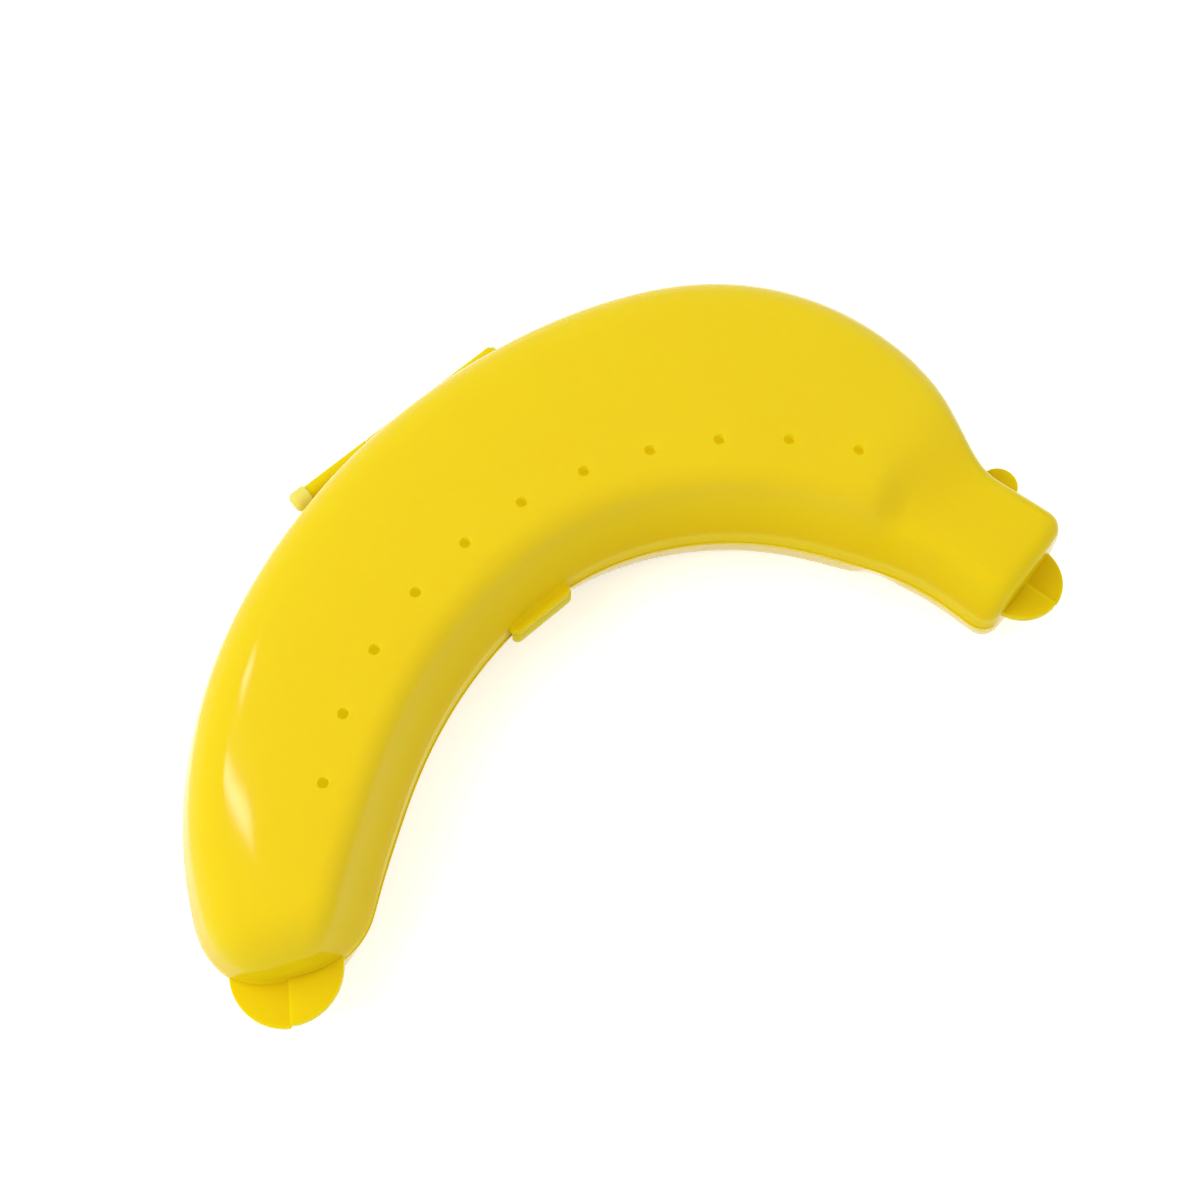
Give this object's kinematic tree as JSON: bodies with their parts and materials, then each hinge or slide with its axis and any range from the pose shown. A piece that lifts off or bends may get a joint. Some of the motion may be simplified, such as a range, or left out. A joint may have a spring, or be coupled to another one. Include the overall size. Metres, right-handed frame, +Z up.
{
  "type": "banana carrying case",
  "caption": "Hinged clam case curved like a banana: vented moulded shells on a pin hinge, closed by a snap tongue, with thumb tabs at both ends and an ear at the neck.",
  "frame": {"origin": "on the flat strip under the lower shell that the case rests on, midway between two vents near the middle of the bend", "axes": "+X along the hinge pin towards the stem, +Y towards the hinge, +Z up from the lower shell to the upper shell"},
  "size_m": [0.2332, 0.151, 0.0483],
  "materials": {
    "shell_plastic": "glossy injection-moulded polypropylene, opaque yellow",
    "pin_plastic": "glossy moulded plastic, paler and slightly translucent yellow"
  },
  "bodies": {
    "base": {"lower_shell": "shell_plastic", "hinge_pin": "pin_plastic"},
    "lid": {"upper_shell": "shell_plastic"},
    "tongue": {"latch_tongue": "shell_plastic"}
  },
  "joints": [
    {"name": "lid_hinge", "type": "hinge", "parent": "base", "child": "lid", "pos_m": [0.0066, 0.04607, 0.02415], "axis": [-1, 0, 0], "range_deg": [0, 178]},
    {"name": "tongue_flex", "type": "hinge", "parent": "lid", "child": "tongue", "pos_m": [-0.0009, -0.01884, 0.02425], "axis": [-1, 0, 0], "range_deg": [0, 12], "stiffness_Nm_per_rad": 0.05}
  ]
}
